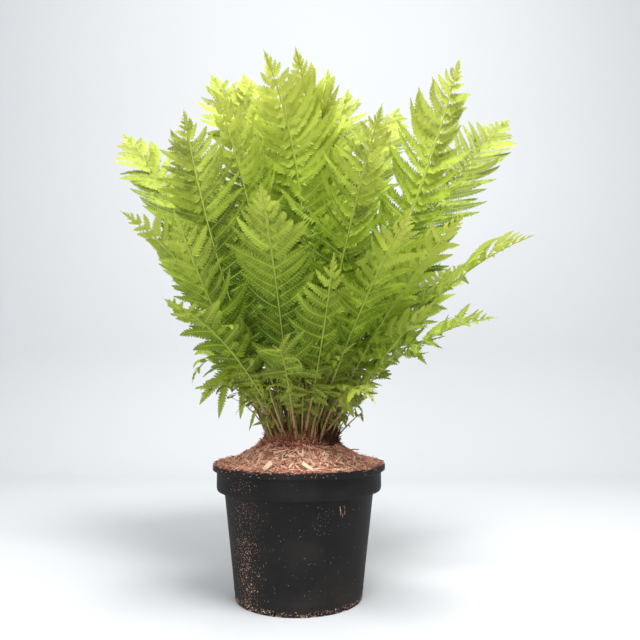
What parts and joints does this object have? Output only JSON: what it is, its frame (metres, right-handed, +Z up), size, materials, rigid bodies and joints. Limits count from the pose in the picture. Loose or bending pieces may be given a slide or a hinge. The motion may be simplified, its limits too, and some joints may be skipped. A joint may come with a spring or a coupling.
{
  "type": "potted fern",
  "caption": "Ostrich fern with long feathery arching fronds rising from a mulched crown, growing in a round black plastic nursery pot.",
  "frame": {"origin": "centre of the pot's flat underside, on the ground", "axes": "+Z up along the pot's axis, through the crown; the side that the picture shows looks to -Y"},
  "size_m": [0.7627, 0.6484, 0.928],
  "materials": {
    "pot_plastic": "satin black polypropylene, injection moulded",
    "growing_medium": "dark peat and bark potting medium",
    "bark": "shredded reddish bark, rough",
    "crown_fibre": "brown fibrous crown with old stalk bases",
    "frond": "fresh green leaflets on pale green stalks, matt"
  },
  "bodies": {
    "root": {"nursery_pot": "pot_plastic", "growing_medium": "growing_medium", "bark_mulch": "bark", "crown": "crown_fibre", "frond_01": "frond", "frond_02": "frond", "frond_03": "frond", "frond_04": "frond", "frond_05": "frond", "frond_06": "frond", "frond_07": "frond", "frond_08": "frond", "frond_09": "frond", "frond_10": "frond", "frond_11": "frond", "frond_12": "frond", "frond_13": "frond", "frond_14": "frond", "frond_15": "frond", "frond_16": "frond", "frond_17": "frond", "frond_18": "frond", "frond_19": "frond", "frond_20": "frond", "frond_21": "frond", "frond_22": "frond", "frond_23": "frond", "frond_24": "frond", "frond_25": "frond", "frond_26": "frond", "frond_27": "frond", "frond_28": "frond", "frond_29": "frond", "frond_30": "frond", "frond_31": "frond", "frond_32": "frond", "frond_33": "frond", "frond_34": "frond", "frond_35": "frond", "frond_36": "frond", "frond_37": "frond", "frond_38": "frond"}
  },
  "joints": []
}
